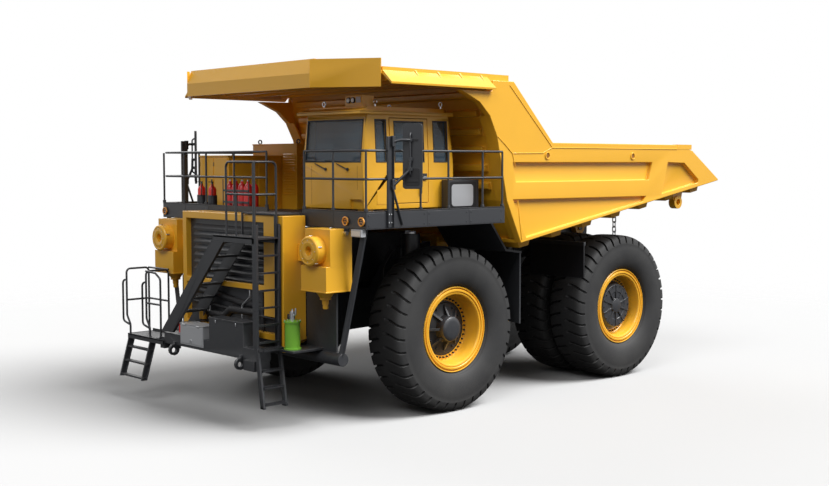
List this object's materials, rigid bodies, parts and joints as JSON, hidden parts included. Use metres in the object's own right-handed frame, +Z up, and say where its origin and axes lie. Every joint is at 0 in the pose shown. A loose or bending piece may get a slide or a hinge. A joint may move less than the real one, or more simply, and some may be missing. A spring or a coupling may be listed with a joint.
{
  "type": "mining dump truck",
  "caption": "Rigid two-axle mining haul truck with tipping load bed and canopy, offset cab, steered front wheels, twin rear wheels, ladders, deck and hand rails.",
  "frame": {"origin": "middle of the truck's box on the ground it stands on", "axes": "+Z up, +X to the driver's side (the truck's left), -Y towards the nose, +Y towards the tail"},
  "size_m": [7.0098, 11.99, 6.405],
  "materials": {
    "yellow_paint": "semi-gloss warm yellow machine paint",
    "grey_metal": "satin dark grey paint",
    "black_metal": "matt black paint",
    "black_plastic": "matt black moulded plastic",
    "tyre_rubber": "matt tyre rubber",
    "window_glass": "tinted safety glass",
    "red_paint": "gloss red paint",
    "green_paint": "gloss light green paint",
    "light_grey_paint": "satin light grey paint",
    "chrome_rod": "ground hard chrome"
  },
  "bodies": {
    "chassis": {"air_cleaner_left": "yellow_paint", "air_cleaner_right": "yellow_paint", "battery_box": "grey_metal", "brake_grid_box": "yellow_paint", "bumper": "grey_metal", "cab_body": "yellow_paint", "cab_rear_glass": "window_glass", "cab_right_glass": "window_glass", "cab_roof": "yellow_paint", "control_cabinet": "yellow_paint", "deck": "grey_metal", "deck_support": "grey_metal", "engine": "grey_metal", "fire_equipment": "red_paint", "frame": "grey_metal", "front_stair": "grey_metal", "front_strut_left": "grey_metal", "front_strut_right": "grey_metal", "fuel_tank": "black_metal", "grease_tank": "green_paint", "handrail_left": "grey_metal", "handrail_right": "grey_metal", "hydraulic_tank": "black_metal", "left_ladder": "grey_metal", "mirror_left": "grey_metal", "mirror_right": "grey_metal", "operator_seat": "black_plastic", "radiator_core": "black_metal", "radiator_frame": "yellow_paint", "rear_axle": "grey_metal", "rear_strut_left": "grey_metal", "rear_strut_right": "grey_metal", "right_landing": "grey_metal", "steering_column": "black_plastic", "windscreen": "window_glass"},
    "knuckle_left": {"knuckle_left": "grey_metal"},
    "knuckle_right": {"knuckle_right": "grey_metal"},
    "tie_rod": {"tie_rod": "grey_metal"},
    "wheel_front_left": {"front_rim_left": "yellow_paint", "front_tyre_left": "tyre_rubber"},
    "wheel_front_right": {"front_rim_right": "yellow_paint", "front_tyre_right": "tyre_rubber"},
    "wheel_rear_left": {"rear_rim_left": "yellow_paint", "rear_outer_tyre_left": "tyre_rubber", "rear_inner_tyre_left": "tyre_rubber"},
    "wheel_rear_right": {"rear_rim_right": "yellow_paint", "rear_outer_tyre_right": "tyre_rubber", "rear_inner_tyre_right": "tyre_rubber"},
    "dump_bed": {"bed_floor": "yellow_paint", "bed_side_left": "yellow_paint", "bed_side_right": "yellow_paint", "bed_front_wall": "yellow_paint", "canopy": "yellow_paint"},
    "hoist_barrel_left": {"hoist_barrel_left": "grey_metal"},
    "hoist_barrel_right": {"hoist_barrel_right": "grey_metal"},
    "hoist_rod_left": {"hoist_rod_left": "chrome_rod"},
    "hoist_rod_right": {"hoist_rod_right": "chrome_rod"},
    "cab_door": {"cab_door": "yellow_paint", "door_glass": "window_glass"}
  },
  "joints": [
    {"name": "steer_left", "type": "hinge", "parent": "chassis", "child": "knuckle_left", "pos_m": [1.52, -2.155, 1.53], "axis": [0, 0, 1], "range_deg": [-32, 32]},
    {"name": "steer_right", "type": "hinge", "parent": "chassis", "child": "knuckle_right", "pos_m": [-1.52, -2.155, 1.53], "axis": [0, 0, 1], "range_deg": [-32, 32]},
    {"name": "tie_rod_pivot", "type": "hinge", "parent": "knuckle_left", "child": "tie_rod", "pos_m": [1.52, -1.555, 1.25], "axis": [0, 0, 1], "range_deg": [-32, 32]},
    {"name": "front_left_wheel_spin", "type": "hinge", "parent": "knuckle_left", "child": "wheel_front_left", "pos_m": [2.38, -2.155, 1.53], "axis": [1, 0, 0], "continuous": true},
    {"name": "front_right_wheel_spin", "type": "hinge", "parent": "knuckle_right", "child": "wheel_front_right", "pos_m": [-2.38, -2.155, 1.53], "axis": [1, 0, 0], "continuous": true},
    {"name": "rear_left_wheel_spin", "type": "hinge", "parent": "chassis", "child": "wheel_rear_left", "pos_m": [2.3, 2.995, 1.53], "axis": [1, 0, 0], "continuous": true},
    {"name": "rear_right_wheel_spin", "type": "hinge", "parent": "chassis", "child": "wheel_rear_right", "pos_m": [-2.3, 2.995, 1.53], "axis": [1, 0, 0], "continuous": true},
    {"name": "bed_tip", "type": "hinge", "parent": "chassis", "child": "dump_bed", "pos_m": [0, 3.795, 3.13], "axis": [-1, 0, 0], "range_deg": [0, 45]},
    {"name": "hoist_left_swing", "type": "hinge", "parent": "chassis", "child": "hoist_barrel_left", "pos_m": [0.98, 0.695, 0.87], "axis": [-1, 0, 0], "range_deg": [0, 3.49]},
    {"name": "hoist_left_stroke", "type": "slide", "parent": "hoist_barrel_left", "child": "hoist_rod_left", "axis": [0, 0.2587, 0.9659], "range_m": [0, 1.916]},
    {"name": "hoist_right_swing", "type": "hinge", "parent": "chassis", "child": "hoist_barrel_right", "pos_m": [-0.98, 0.695, 0.87], "axis": [-1, 0, 0], "range_deg": [0, 3.49]},
    {"name": "hoist_right_stroke", "type": "slide", "parent": "hoist_barrel_right", "child": "hoist_rod_right", "axis": [0, 0.2587, 0.9659], "range_m": [0, 1.916]},
    {"name": "cab_door_hinge", "type": "hinge", "parent": "chassis", "child": "cab_door", "pos_m": [2.49, -3.522, 4.6], "axis": [0, 0, -1], "range_deg": [0, 44]}
  ],
  "couplings": [
    {"joint": "steer_right", "follows": "steer_left", "ratio": 1},
    {"joint": "tie_rod_pivot", "follows": "steer_left", "ratio": -1},
    {"joint": "hoist_left_swing", "follows": "bed_tip", "ratio": 0.070785},
    {"joint": "hoist_left_stroke", "follows": "bed_tip", "m_per_rad": 2.4262},
    {"joint": "hoist_right_swing", "follows": "bed_tip", "ratio": 0.070785},
    {"joint": "hoist_right_stroke", "follows": "bed_tip", "m_per_rad": 2.4262}
  ]
}
